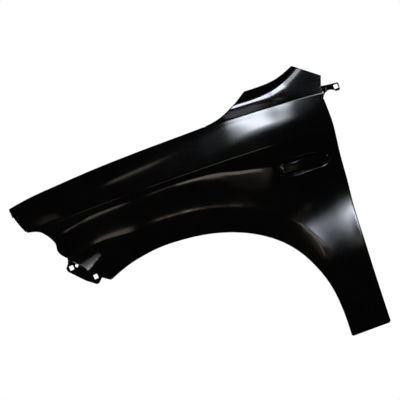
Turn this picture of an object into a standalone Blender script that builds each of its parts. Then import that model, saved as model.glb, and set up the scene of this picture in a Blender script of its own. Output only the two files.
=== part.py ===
"""Front fender of a car, left side: one pressed sheet of steel with black primer.

Frame: metres, +X to the rear of the car, -Y outward, +Z up. The origin is on the underside of the
hood rail flange, where the fender sits on the car's apron rail above the wheel centre.
The shape functions work in millimetres: u to the rear and w up from the wheel centre, out outward.
"""
import math

import bmesh
import bpy
import numpy as np
from mathutils import Vector
from mathutils.geometry import delaunay_2d_cdt

SHEET = 0.8                 # thickness of the steel, mm
EDGE_STEP = 17.0            # spacing of points along the trimmed edges
FEATURE_STEP = 20.0         # and along creases
GRID_STEP = 27.0            # and over the open surface

# ------------------------------------------------------------------ curves
def pchip(xs, ys, t):
    """Monotone cubic through (xs, ys), straight beyond its ends."""
    xs, ys, t = np.asarray(xs, float), np.asarray(ys, float), np.asarray(t, float)
    h = np.diff(xs)
    d = np.diff(ys) / h
    m = np.zeros_like(ys)
    same = d[:-1] * d[1:] > 0
    a, b = 2 * h[1:] + h[:-1], h[1:] + 2 * h[:-1]
    den = np.where(same, a / np.where(d[:-1] == 0, 1, d[:-1]) + b / np.where(d[1:] == 0, 1, d[1:]), 1)
    m[1:-1] = np.where(same, (a + b) / den, 0)
    m[0], m[-1] = d[0], d[-1]
    i = np.clip(np.searchsorted(xs, t) - 1, 0, len(xs) - 2)
    s = (t - xs[i]) / h[i]
    c = np.clip(s, 0, 1)
    v = ((2 * c**3 - 3 * c**2 + 1) * ys[i] + (c**3 - 2 * c**2 + c) * h[i] * m[i]
         + (3 * c**2 - 2 * c**3) * ys[i + 1] + (c**3 - c**2) * h[i] * m[i + 1])
    return v + (s - c) * h[i] * np.where(s > 0.5, m[i + 1], m[i])


def cubic(xs, ys, t):
    """Natural cubic spline through (xs, ys), straight beyond its ends."""
    xs, ys, t = np.asarray(xs, float), np.asarray(ys, float), np.asarray(t, float)
    n = len(xs)
    h = np.diff(xs)
    A, r = np.zeros((n, n)), np.zeros(n)
    A[0, 0] = A[-1, -1] = 1
    for i in range(1, n - 1):
        A[i, i - 1:i + 2] = h[i - 1], 2 * (h[i - 1] + h[i]), h[i]
        r[i] = 6 * ((ys[i + 1] - ys[i]) / h[i] - (ys[i] - ys[i - 1]) / h[i - 1])
    M = np.linalg.solve(A, r)
    tc = np.clip(t, xs[0], xs[-1])
    i = np.clip(np.searchsorted(xs, tc) - 1, 0, n - 2)
    a, b = xs[i + 1] - tc, tc - xs[i]
    v = ((M[i] * a**3 + M[i + 1] * b**3) / (6 * h[i])
         + (ys[i] / h[i] - M[i] * h[i] / 6) * a + (ys[i + 1] / h[i] - M[i + 1] * h[i] / 6) * b)
    s0 = (ys[1] - ys[0]) / h[0] - h[0] * M[1] / 6
    s1 = (ys[-1] - ys[-2]) / h[-1] + h[-1] * M[-2] / 6
    return v + np.where(t < xs[0], (t - xs[0]) * s0, 0) + np.where(t > xs[-1], (t - xs[-1]) * s1, 0)


def smooth(x):
    x = np.clip(x, 0, 1)
    return x * x * (3 - 2 * x)


def through(points, step, closed=False):
    """Smooth curve through 2-D points, sampled about every `step` along it."""
    P = np.array(points, float)
    n = len(P)
    if closed:
        P = np.vstack([P[-4:], P, P[:5]])
    d = np.r_[0, np.cumsum(np.hypot(*np.diff(P, axis=0).T))]
    a, b = (d[4], d[4 + n]) if closed else (d[0], d[-1])
    t = np.linspace(a, b, int((b - a) / 0.5) + 2)
    Q = np.c_[cubic(d, P[:, 0], t), cubic(d, P[:, 1], t)]
    L = np.r_[0, np.cumsum(np.hypot(*np.diff(Q, axis=0).T))]
    s = np.linspace(0, L[-1], max(1, int(round(L[-1] / step))) + 1)
    R = np.c_[np.interp(s, L, Q[:, 0]), np.interp(s, L, Q[:, 1])]
    return R[:-1] if closed else R


def straight(points, step):
    """Polyline through 2-D points with its straight runs divided about every `step`."""
    out = [np.array(points[0], float)]
    for a, b in zip(points[:-1], points[1:]):
        a, b = np.array(a, float), np.array(b, float)
        n = max(1, int(round(np.hypot(*(b - a)) / step)))
        out += [a + (b - a) * k / n for k in range(1, n + 1)]
    return np.array(out)


def line_distance(u, w, Q):
    """Distance to a polyline, and the side it is on (+ left of its run)."""
    best, side = np.full(u.shape, 1e18), np.zeros(u.shape)
    for a, b in zip(Q[:-1], Q[1:]):
        e = b - a
        s = np.clip(((u - a[0]) * e[0] + (w - a[1]) * e[1]) / (e @ e), 0, 1)
        du, dw = u - a[0] - s * e[0], w - a[1] - s * e[1]
        d2 = du * du + dw * dw
        nearer = d2 < best
        best = np.where(nearer, d2, best)
        side = np.where(nearer, e[0] * dw - e[1] * du, side)
    return np.sqrt(best), side


def inside(u, w, Q):
    c = np.zeros(np.shape(u), bool)
    for a, b in zip(Q, np.roll(Q, -1, axis=0)):
        c ^= ((a[1] > w) != (b[1] > w)) & (u < (b[0] - a[0]) * (w - a[1]) / (b[1] - a[1] + 1e-30) + a[0])
    return c


def depth_in(u, w, Q):
    """Distance inside a closed outline, negative outside it."""
    d, _ = line_distance(u, w, np.vstack([Q, Q[:1]]))
    return np.where(inside(u, w, Q), d, -d)
# ------------------------------------------------------------------ outline, as seen square on from outside
# u runs to the rear of the car from the wheel centre, w runs up from it, o is how far the sheet stands outward (mm)
HOOD_A = [(-492, 624), (-435, 633.5), (-346, 641), (-226, 648), (-107, 651.5), (0, 652.5), (110, 652.5), (150, 653)]
HOOD_B = [(150, 653), (191, 659), (233.5, 674), (273, 695.5), (298, 712)]
COWL_TOP = [(298, 712), (343, 710.5), (372, 711), (402, 715), (431, 724), (458, 735)]
COWL_END = [(458, 735), (531, 677)]
REAR_TAB = [(531, 677), (520, 647), (533, 644.5), (569, 640.5), (572, 637), (570.5, 619), (567, 616), (557, 617),
            (551, 622.5), (543, 626.5), (534, 627), (525, 623.5), (519, 618), (515, 611)]
DOOR = [(515, 611), (516, 572), (516, 542), (512, 498), (504, 438), (496, 349), (489, 290), (483, 186),
        (477.6, 81), (474, -8), (471, -90)]
SILL = [(471, -90), (346.5, -90)]
ARCH = [(346.5, -90), (348.5, -30), (347, 19), (339, 78), (321, 135), (287, 201.5), (238, 257), (176, 300),
        (107.5, 330), (35, 349), (-39, 358), (-99, 359.5), (-158, 353), (-216, 340), (-272, 319)]
FRONT_TAB = [(-272, 319), (-284, 326.5), (-296, 335), (-310, 322.5), (-317, 321.5), (-345, 343), (-386, 386),
             (-388.5, 397), (-378, 411), (-374, 424)]
LAMP = [(-374, 424), (-384, 435), (-393, 448), (-395.5, 461), (-393.5, 475), (-397, 489), (-404, 502),
        (-412.5, 514), (-423, 525), (-436, 532), (-464.5, 540)]
NOSE = [(-464.5, 540), (-476, 567), (-485, 595), (-492, 624)]


# ------------------------------------------------------------------ feature lines
def main_crease(u):
    return cubic([-500, -365, -226, -67, 92, 251, 313, 407, 462, 520], [536.5, 539, 541.5, 540, 537, 532, 529, 523, 518, 511.5], u)


def lower_crease(u):
    return cubic([-500, -369, -320, -280, -240, -200, -107, -40, 0, 40, 80, 120, 160, 200, 240, 280, 320, 400, 520],
                 [462, 507, 516, 522, 525, 525.5, 526, 527, 526, 523.5, 520, 514.5, 506.5, 495.5, 487, 476, 466, 448, 430], u)


def shoulder(u):
    return cubic([-500, -200, 100, 202, 258, 321, 383, 430, 476, 530], [640, 646, 649, 649, 646, 642.5, 637.5, 633, 628, 620], u)


def pillar_edge(u):
    return cubic([-500, 150, 251, 290, 338, 371, 406, 445, 472, 530], [684, 683, 681.5, 681.5, 682, 685.5, 695, 712, 727, 765], u)


# plan view: how fast the main crease moves outward towards the rear
PLAN_U = [-520, -400, -250, -100, 100, 300, 370, 440, 520]
PLAN_SLOPE = [0.50, 0.33, 0.19, 0.115, 0.045, 0.0, -0.045, -0.085, -0.095]

# lean of the sheet in degrees, + where it faces up, at set places across each section
# above the main crease, from it up to the top edge
LEAN_UP = {
    -490: (9, 13, 15, 25, 30, 34, 36, 40, 43, 45, 46, 50, 52),
    -400: (10, 14, 15, 25, 30, 34, 36, 40, 43, 45, 46, 50, 52),
    -300: (12, 16, 17, 24, 29, 33, 36, 40, 43, 45, 46, 50, 52),
    -200: (12, 16, 17, 22.5, 29, 33, 35, 40, 43, 45, 46, 50, 52),
    -100: (12, 16, 17, 21, 27, 32, 34, 40, 43, 45, 46, 50, 52),
    -20: (11, 14, 16, 20, 26, 31, 33, 40, 43, 45, 46, 50, 52),
    60: (10, 12, 14, 19, 25, 29.5, 32, 40, 43, 45, 46, 50, 52),
    130: (9, 10.5, 12, 17.5, 23, 27, 28, 37, 40, 41, 42, 52, 55),
    220: (8, 9, 10.5, 15.5, 20, 24, 22.5, 36, 37, 31, 20, 56, 60),
    290: (8, 9, 10, 15, 20, 23.5, 22, 37, 38, 32, 20, 60, 64),
    360: (8, 9, 9.5, 14.5, 19.5, 21.5, 20.5, 36, 34, 29, 20.5, 60, 66),
    430: (7, 8, 8, 12.5, 17, 18, 17, 29, 27.5, 24.5, 20.5, 60, 68),
    500: (6, 7, 7, 10, 14, 15, 15, 25.5, 25.5, 24.5, 20, 60, 70),
}
# below it, down to the foot of the panel
LEAN_DOWN = {
    -490: (-12, -9, 6, 3.5, 1, 0, 0, 0, 0, 0, 0, 0),
    -380: (-12, -9, 6.5, 3.5, 1, 0, 0, 0, 0, 0, 0, 0),
    -280: (-12, -9, 6, 2.5, 0, -1, 0, 0, 0, 0, 0, 0),
    -150: (-12, -9, 5.5, 2, -1, -2, -1, 0, 0, 0, 0, 0),
    0: (-13, -10, 5.5, 2, -1, -2, -1, 0, 0, 0, 0, 0),
    100: (-13, -10, 6.5, 3, 0, -1, -1, 0, 0, 0, 0, 0),
    200: (-12, -8, 7, 4.5, 3.5, 2.5, 0, 2, 2, 0, -1, -1),
    270: (-10, -6, 6.5, 5, 4.5, 3, 3, 8, 6, 1, -2, -3),
    360: (-8, -4, 0, 0, 1, 2, 8, 15.6, 14.5, 2, -3, -4),
    430: (-6, -3, -1, -1, 0, 2, 10, 16.3, 14.5, 2, -4, -5),
    500: (-4, -2, -1, 0, 4, 6, 12, 18.5, 15, 2, -4, -5),
}

# wheel arch flare, by the angle round the wheel centre in degrees
ARCH_ANGLE = [np.degrees(math.atan2(w, u)) for u, w in ARCH]
ARCH_RADIUS = [math.hypot(u, w) for u, w in ARCH]
FLARE_ANGLE = [-20, 0, 20, 38, 60, 90, 104, 112, 119, 126, 150]
FLARE_WIDTH = [56, 57, 61, 70, 73, 73, 74, 81, 102, 119, 136]      # arch edge to the flare's crease
FLARE_LEAN = [0, 0, 3, 4, 6, 13, 11.5, 10.5, 9.5, 8, 4]            # lean of the ledge outside the crease
FLARE_LEDGE = [40, 40, 42, 48, 56, 56, 62, 62, 50, 42, 42]         # width of the ledge
FLARE_FADE = [2, 2, 2, 2, 2, 2, 1.4, 1, 1, 1, 1]                   # how fast that lean fades over the ledge
FLARE_TURN = [1, 1, 3, 5, 4, 3, 2.4, 2, 2, 2, 2]                   # the band inside the crease turns towards the wheel
FLARE_ROUND = 3.0

# recess for the side lamp behind the wheel arch
POCKET = [(299, 462), (304, 474), (330, 477), (365, 474), (400, 471.5), (428, 467.5), (455, 458), (467, 444),
          (467, 430), (455, 422.5), (415, 421), (378, 421), (344, 424), (318, 433), (303, 448)]
POCKET_PAD = [(322, 463), (363, 461), (402, 457.5), (405, 445), (399, 438), (372, 435.5), (350, 434.5), (327, 440)]
POCKET_DEPTH, POCKET_WALL, PAD_RISE = 10.0, 8.0, 3.5

# front lower corner: the skin ends in a pointed wedge above the joggled bumper tab
WEDGE = (-326.0, 367.0)
JOGGLE = [(-400, 432), (-373, 421), (-345, 393.5), (-326, 367), (-273, 396), (-235, 416)]
WEDGE_TUCK, WEDGE_REACH = 9.0, 40.0      # the wedge turns in towards its point by this much over this height
TAB_PLANE = (-340.0, -74.0, 0.30)        # u, outward position there, slope along u
REAR_TAB_OUT = -19.0                     # outward position of the rear upper tab
SEAT = (0.0, 82.5, 624.2)                # where the hood rail flange sits on the apron: the object's origin

# ------------------------------------------------------------------ the die surface
STEP_U, STEP_T = 4.0, 0.5
GRID_U = np.arange(-520, 600.1, STEP_U)
GRID_T = np.arange(-700, 300.1, STEP_T)


def section_table():
    """Outward position over each section, from its lean integrated both ways from the main crease."""
    su, sd = sorted(LEAN_UP), sorted(LEAN_DOWN)
    up = np.stack([pchip(su, [LEAN_UP[s][k] for s in su], GRID_U) for k in range(13)], 1)
    dn = np.stack([pchip(sd, [LEAN_DOWN[s][k] for s in sd], GRID_U) for k in range(12)], 1)
    c1, c2, sh, pe = main_crease(GRID_U), lower_crease(GRID_U), shoulder(GRID_U), pillar_edge(GRID_U)
    table = np.zeros((len(GRID_U), len(GRID_T)))
    for i in range(len(GRID_U)):
        k2 = max(sh[i] - 48, c1[i] + 38)
        k3 = max(sh[i] - 26, k2 + 14)
        k4 = max(sh[i] - 12, k3 + 8)
        k5 = max(sh[i] - 4, k4 + 6)
        k6 = max(sh[i] + 5, k5 + 7)
        k8 = max(pe[i] - 24, k6 + 16)
        k9 = max(pe[i] - 3, k8 + 14)
        above = [c1[i] + 2, c1[i] + 9, c1[i] + 28, k2, k3, k4, k5, k6, k6 + 12, k8, k9, k9 + 7, k9 + 33]
        top = min(400, c2[i] - 60)
        below = [-100, -20, 80, 170, 250, min(340, top - 40), top, c2[i] - 35, c2[i] - 15, c2[i] - 5,
                 min(c2[i] + 4, c1[i] - 9), c1[i] - 3]
        lean = pchip(np.r_[below, above], np.r_[dn[i][::-1], up[i]], c1[i] + GRID_T)
        slope = -np.tan(np.radians(np.clip(lean, -40, 75)))
        run = np.r_[0, np.cumsum(0.5 * (slope[1:] + slope[:-1])) * STEP_T]
        table[i] = run - np.interp(0.0, GRID_T, run)
    k = np.array([1, 4, 6, 4, 1]) / 16
    wide = np.pad(table, ((2, 2), (0, 0)), mode="edge")
    return sum(k[m] * wide[m:m + len(GRID_U)] for m in range(5))


def catmull(f):
    return (-f**3 + 2 * f**2 - f) / 2, (3 * f**3 - 5 * f**2 + 2) / 2, (-3 * f**3 + 4 * f**2 + f) / 2, (f**3 - f**2) / 2


TABLE = section_table()
_slope = cubic(PLAN_U, PLAN_SLOPE, GRID_U)
PLAN_OUT = np.r_[0, np.cumsum(0.5 * (_slope[1:] + _slope[:-1])) * STEP_U]
PLAN_OUT -= np.interp(300.0, GRID_U, PLAN_OUT)


def sections(u, w):
    t = w - main_crease(u)
    fu, ft = (u - GRID_U[0]) / STEP_U, (t - GRID_T[0]) / STEP_T
    i = np.clip(np.floor(fu).astype(int), 1, len(GRID_U) - 3)
    j = np.clip(np.floor(ft).astype(int), 0, len(GRID_T) - 2)
    b = ft - j
    return sum(c * (PLAN_OUT[i - 1 + k] + TABLE[i - 1 + k, j] * (1 - b) + TABLE[i - 1 + k, j + 1] * b)
               for k, c in enumerate(catmull(fu - i)))


def arch_distance(u, w):
    a = np.degrees(np.arctan2(w, u))
    a = np.where(a < -90, a + 360, a)
    return np.hypot(u, w) - cubic(ARCH_ANGLE, ARCH_RADIUS, np.clip(a, -16, 146)), a


def flare(u, w):
    d, a = arch_distance(u, w)
    width, ledge = cubic(FLARE_ANGLE, FLARE_WIDTH, a), cubic(FLARE_ANGLE, FLARE_LEDGE, a)
    lean = np.tan(np.radians(np.clip(cubic(FLARE_ANGLE, FLARE_LEAN, np.clip(a, -20, 150)), 0, 30)))
    turn = np.tan(np.radians(np.clip(cubic(FLARE_ANGLE, FLARE_TURN, np.clip(a, -20, 150)), 0, 30)))
    q = d - width
    y = np.clip(q / ledge, 0, 1)
    fade = cubic(FLARE_ANGLE, FLARE_FADE, np.clip(a, -20, 150))
    out = lean * ledge * (1 - y)**(fade + 1) / (fade + 1) - turn * np.clip(-q, 0, None)
    return out - (lean + turn) * FLARE_ROUND * 0.5 * (1 - np.clip(np.abs(q) / (2 * FLARE_ROUND), 0, 1))**2


_pocket, _pad = through(POCKET, 4, True), through(POCKET_PAD, 4, True)


def pocket(u, w):
    r = np.zeros(u.shape)
    m = (u > 285) & (u < 482) & (w > 405) & (w < 492)
    if m.any():
        a, b = u[m], w[m]
        r[m] = (-POCKET_DEPTH * smooth((depth_in(a, b, _pocket) + 1.5) / POCKET_WALL)
                + smooth((depth_in(a, b, _pad) + 1) / 4) * (PAD_RISE - 0.10 * (b - 435)))
    return r


def corner(u, w, out):
    """Front lower corner and the joggle down to the bumper tab's plane."""
    m = (u < -200) & (w < 470)
    if not m.any():
        return out
    a, b, o = u[m], w[m], out[m]
    d, side = line_distance(a, b, np.array(JOGGLE, float))
    below = side < 0
    t = np.clip(((b - WEDGE[1]) * 0.94 - (a - WEDGE[0]) * 0.20) / WEDGE_REACH, 0, 1)
    skin = o - WEDGE_TUCK * (1 - t)**1.35 * (1 - smooth((a + 290) / 40))
    plane = TAB_PLANE[1] + TAB_PLANE[2] * (a - TAB_PLANE[0])
    low = np.where(a < -300, plane, plane + (o - 9 - plane) * smooth((a + 300) / 30))
    low = low * 1.0
    fade = 1 - smooth((a + 326) / 66)
    base = o + (low - o) * fade
    out = out.copy()
    out[m] = np.where(below, skin + (base - skin) * smooth((d + 1.0) / 5.5), skin)
    return out


def outward(u, w):
    u, w = np.asarray(u, float), np.asarray(w, float)
    out = corner(u, w, sections(u, w) + flare(u, w) + pocket(u, w))
    k = smooth((u - 519) / 11) * smooth((653 - w) / 6) * smooth((w - 600) / 12)
    return out + (REAR_TAB_OUT - out) * k


def normals(u, w, e=0.5):
    a = (outward(u + e, w) - outward(u - e, w)) / (2 * e)
    b = (outward(u, w + e) - outward(u, w - e)) / (2 * e)
    n = np.stack([-a, -np.ones_like(a), -b], -1)
    return n / np.linalg.norm(n, axis=-1, keepdims=True)
# ------------------------------------------------------------------ the trimmed sheet
def edges_of(step):
    """Named runs of the outline, clockwise as seen from outside, sampled about every `step`."""
    fine = step * 0.55
    return [
        ("hood", through(HOOD_A, step)), ("hood_rear", through(HOOD_B, step)), ("cowl", through(COWL_TOP, step)),
        ("cowl_end", straight(COWL_END, step)), ("rear_tab", straight(REAR_TAB, fine)), ("door", through(DOOR, step)),
        ("sill", straight(SILL, step)), ("arch", through(ARCH, step)), ("front_tab", straight(FRONT_TAB, fine)),
        ("lamp", through(LAMP, fine)), ("nose", through(NOSE, fine)),
    ]


FOLDED = {"hood", "hood_rear", "door", "sill", "arch", "lamp", "nose"}
STEEP = {"hood", "hood_rear"}  # the sheet leans back so far here that the bend hardly stands out past its start
BEND = 2.5                  # bend radius of the folded edges, mm
RELIEF = 3.2                # how far a fold stops short of a corner


def inset(P, d):
    t = np.gradient(P, axis=0)
    t /= np.linalg.norm(t, axis=1)[:, None]
    return P + d * np.c_[t[:, 1], -t[:, 0]]


def cut_back(P, d):
    """Takes d off both ends of a run of points."""
    L = np.r_[0, np.cumsum(np.hypot(*np.diff(P, axis=0).T))]
    s = np.r_[d, L[(L > 1.3 * d) & (L < L[-1] - 1.3 * d)], L[-1] - d]
    return np.c_[np.interp(s, L, P[:, 0]), np.interp(s, L, P[:, 1])]


def outline(step):
    """The blank's outline. A folded run is set in by the bend radius and cut back, which leaves a relief at its ends."""
    runs, pts = [], []
    named = edges_of(step)
    for k, (name, P) in enumerate(named):
        if name in FOLDED:
            P = cut_back(inset(P, 0.6 if name in STEEP else BEND), RELIEF)
        elif named[(k + 1) % len(named)][0] not in FOLDED:
            P = P[:-1]
        runs.append((name, len(pts), len(pts) + len(P)))
        pts += list(P)
    return np.array(pts), runs


def feature_rows(step, detail):
    """Lines that the mesh follows, each as a run of 2-D points."""
    rows = []
    lo, hi = -520.0, 560.0
    n = int((hi - lo) / step)
    u = np.linspace(lo, hi, n + 1)
    crease = (-3.2, 0, 3.2) if detail == 0 else (-4.5, -3, -1.5, 0, 1.5, 3, 4.5)
    soft = (-5, 5) if detail == 0 else (-6, -3, 0, 3, 6)
    for k in crease:
        rows.append((u, main_crease(u) + k))
    m = u < 300
    for k in soft:
        v = np.minimum(lower_crease(u) + k, main_crease(u) - 9)
        rows.append((u[m], v[m]))
    m = u > 170
    for k in ((-5, 4) if detail == 0 else (-6, -4, -2, 0, 2, 4, 6)):
        rows.append((u[m], shoulder(u[m]) + k))
    m = u > 215
    for k in ((-3, 4) if detail == 0 else (-5, -3, -1, 1, 3, 5)):
        rows.append((u[m], pillar_edge(u[m]) + k))
    a = np.radians(np.arange(-14, 150, math.degrees(step / 430)))
    base = cubic(ARCH_ANGLE, ARCH_RADIUS, np.degrees(a)) + cubic(FLARE_ANGLE, FLARE_WIDTH, np.degrees(a))
    for k in ((-4, 4) if detail == 0 else (-5, -2.5, 0, 2.5, 5)):
        rows.append(((base + k) * np.cos(a), (base + k) * np.sin(a)))
    return rows


def offset_ring(points, step, d):
    """Closed outline moved inwards by d."""
    Q = through(points, step, True)
    t = np.roll(Q, -1, 0) - np.roll(Q, 1, 0)
    t /= np.linalg.norm(t, axis=1)[:, None]
    n = np.c_[t[:, 1], -t[:, 0]]
    area = 0.5 * np.sum(Q[:, 0] * np.roll(Q[:, 1], -1) - np.roll(Q[:, 0], -1) * Q[:, 1])
    return Q + d * n * (-1 if area > 0 else 1)


def sheet_points(edge, feature, grid, detail):
    """2-D points and constraint edges of the trimmed blank."""
    border, runs = outline(edge)
    pts, lines = [tuple(p) for p in border], []
    n0 = len(border)
    lines += [(i, (i + 1) % n0) for i in range(n0)]
    keep = list(border)

    def add(P, closed, clear):
        ok = inside(P[:, 0], P[:, 1], border)
        d, _ = line_distance(P[:, 0], P[:, 1], np.vstack([border, border[:1]]))
        ok &= d > clear
        prev, first = None, None
        for p, good in zip(P, ok):
            if good:
                k = len(pts)
                pts.append(tuple(p))
                keep.append(p)
                if prev is not None:
                    lines.append((prev, k))
                if first is None:
                    first = k
                prev = k
            else:
                prev = None
        if closed and ok.all():
            lines.append((prev, first))

    clear = 0.35 * min(edge, feature)
    in_pocket = through(POCKET, 6, True)
    for u, w in feature_rows(feature, detail):
        P = np.c_[u, w]
        d = depth_in(u, w, in_pocket)
        wedge = np.hypot(u + 320, w - 380) > 62
        for block in np.split(np.arange(len(P)), np.where(np.diff(((d < -9) & wedge).astype(int)) != 0)[0] + 1):
            if len(block) > 1 and (d[block[0]] < -9) and wedge[block[0]]:
                add(P[block], False, clear)
    for d in ((-1.5, 6.5) if detail == 0 else (-3, -1.5, 0, 1.5, 3, 4.5, 6, 7)):
        add(offset_ring(POCKET, min(feature, 11.0), d), True, clear)
    for d in ((-1, 3) if detail == 0 else (-1.5, 0, 1.5, 3)):
        add(offset_ring(POCKET_PAD, min(feature, 11.0), d), True, clear)
    J = straight(JOGGLE[1:], min(feature, 12.0))
    t = np.gradient(J, axis=0)
    t /= np.linalg.norm(t, axis=1)[:, None]
    for d in ((0.6, -5.2) if detail == 0 else (1, -0.5, -2, -3.5, -5.5)):
        add(J + d * np.c_[-t[:, 1], t[:, 0]], False, clear)

    # filling grid of equilateral triangles
    keep = np.array(keep)
    gx, gy = np.meshgrid(np.arange(-500, 580, grid), np.arange(-100, 745, grid * math.sqrt(3) / 2))
    gx = gx + (np.arange(gx.shape[0]) % 2)[:, None] * grid / 2
    P = np.c_[gx.ravel(), gy.ravel()]
    P = P[inside(P[:, 0], P[:, 1], border)]
    near = np.full(len(P), 1e9)
    for k in range(0, len(keep), 400):
        d = np.hypot(P[:, None, 0] - keep[None, k:k + 400, 0], P[:, None, 1] - keep[None, k:k + 400, 1]).min(1)
        near = np.minimum(near, d)
    P = P[near > 0.55 * grid]
    pts += [tuple(p) for p in P]
    return pts, lines, n0, runs


def turn_towards(v, target, share):
    """Direction that has gone `share` of the way from v to target."""
    dot = np.clip((v * target).sum(-1, keepdims=True), -1, 1)
    th = np.arccos(dot)
    s = np.where(np.sin(th) < 1e-6, 1, np.sin(th))
    r = np.sin((1 - share) * th) / s * v + np.sin(share * th) / s * target
    return r / np.linalg.norm(r, axis=-1, keepdims=True), th


HOOD_SEAT_U = [-490, -345, -285, -60, 150]
HOOD_SEAT_W = [597, 613, 613, 625, 625]            # height of the hood rail flange, level where it is bolted


def fold(name, P, N, T, bends):
    """Rows of points of the folded edge `name`, from the border points P outward over the bend and along the flange."""
    v = np.cross(N, T)
    v /= np.linalg.norm(v, axis=1)[:, None]
    rows, here = [], P.copy()

    def bend(target, radius, n):
        nonlocal here, v
        for k in range(n):
            mid, th = turn_towards(v, target, (k + 0.5) / n)
            here = here + mid * radius * th / n
            rows.append(here.copy())
        v = np.broadcast_to(target, v.shape).copy()

    inb = np.array([0.0, 1.0, 0.0])
    s = np.linspace(0, 1, len(P))[:, None]
    ends = smooth(s / 0.05) * smooth((1 - s) / 0.05)
    if name == "hood":
        wall = np.array([0, 0.30, -0.954])
        bend(wall, BEND, bends + 1)
        seat = pchip(HOOD_SEAT_U, HOOD_SEAT_W, P[:, 0])
        drop = (here[:, 2] - BEND - seat) / 0.954
        here = here + wall * drop[:, None]
        rows.append(here.copy())
        bend(inb, BEND, bends)
        for r in rows[-1:]:
            r[:, 2] = seat
        here = rows[-1] + inb * (20.0 - 4.0 * (1 - ends))
        rows.append(here.copy())
    elif name == "sill":
        bend(inb, BEND, bends)
        rows[-1][:, 2] = P[:, 2] - BEND
        here = rows[-1] + inb * 24.0
        rows.append(here.copy())
    else:
        width = {"hood_rear": 11.0, "door": 12.0, "arch": 18.0, "lamp": 12.0, "nose": 12.0}[name]
        bend(inb, BEND, bends)
        here = here + inb * (width - 0.3 * width * (1 - ends))
        rows.append(here.copy())
    return rows, v


def build_sheet(edge, feature, grid, detail, bends):
    """The pressed sheet's outer face as a mesh, and a frame along each folded edge."""
    pts, lines, n0, runs = sheet_points(edge, feature, grid, detail)
    got = delaunay_2d_cdt([Vector(p) for p in pts], lines, [list(range(n0))], 1, 1e-5)
    V = np.array([tuple(p) for p in got[0]])
    where = {}
    for k, olds in enumerate(got[3]):
        for o in olds:
            where[o] = k
    O = outward(V[:, 0], V[:, 1])
    bm = bmesh.new()
    verts = [bm.verts.new((u, -o, w)) for (u, w), o in zip(V, O)]
    cent = np.array([V[list(f)].mean(0) for f in got[2]])
    border = np.array(pts[:n0])
    good = inside(cent[:, 0], cent[:, 1], border)
    for f, ok in zip(got[2], good):
        if ok:
            bm.faces.new([verts[k] for k in f])
    frames = {}
    for name, a, b in runs:
        if name not in FOLDED:
            continue
        idx = [where[k] for k in range(a, b)]
        P = np.array([tuple(verts[k].co) for k in idx])
        N = normals(V[idx, 0], V[idx, 1])
        T = np.gradient(P, axis=0)
        T /= np.linalg.norm(T, axis=1)[:, None]
        rows, v = fold(name, P, N, T, bends)
        last = [verts[k] for k in idx]
        for R in rows:
            new = [bm.verts.new(tuple(p)) for p in R]
            for i in range(len(new) - 1):
                bm.faces.new((last[i], last[i + 1], new[i + 1], new[i]))
            last = new
        frames[name] = (rows[-2], rows[-1], np.cross(N, T), T)
    loose = [x for x in bm.verts if not x.link_faces]
    bmesh.ops.delete(bm, geom=loose, context="VERTS")
    bm.normal_update()
    return bm, frames


# ------------------------------------------------------------------ holes
def prism(bm, shape, centre, axis, across, depth):
    """Adds a closed prism: `shape` is a 2-D outline, laid round `axis` with its first direction along `across`."""
    axis = Vector(axis).normalized()
    x = Vector(across)
    x = (x - axis * x.dot(axis)).normalized()
    y = axis.cross(x)
    c = Vector(centre)
    a = [bm.verts.new(c + x * p[0] + y * p[1] - axis * depth / 2) for p in shape]
    b = [bm.verts.new(c + x * p[0] + y * p[1] + axis * depth / 2) for p in shape]
    n = len(shape)
    bm.faces.new(a[::-1])
    bm.faces.new(b)
    for i in range(n):
        bm.faces.new((a[i], a[(i + 1) % n], b[(i + 1) % n], b[i]))


def slot(length, width, sides):
    """Round-ended slot, or a circle where length equals width."""
    r, s = width / 2, (length - width) / 2
    k = sides // 2
    right = [(s + r * math.cos(t), r * math.sin(t)) for t in (math.pi * (i / k - 0.5) for i in range(k + 1))]
    if s < 1e-6:
        right = right[:-1]
        return right + [(-x, -y) for x, y in right]
    return right + [(-x, -y) for x, y in right]


def square(side, radius, n):
    """Square with rounded corners."""
    h, out = side / 2 - radius, []
    for q, (cx, cy) in enumerate([(h, h), (-h, h), (-h, -h), (h, -h)]):
        for i in range(n + 1):
            t = math.pi / 2 * (q + i / n)
            out.append((cx + radius * math.cos(t), cy + radius * math.sin(t)))
    return out


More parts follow.
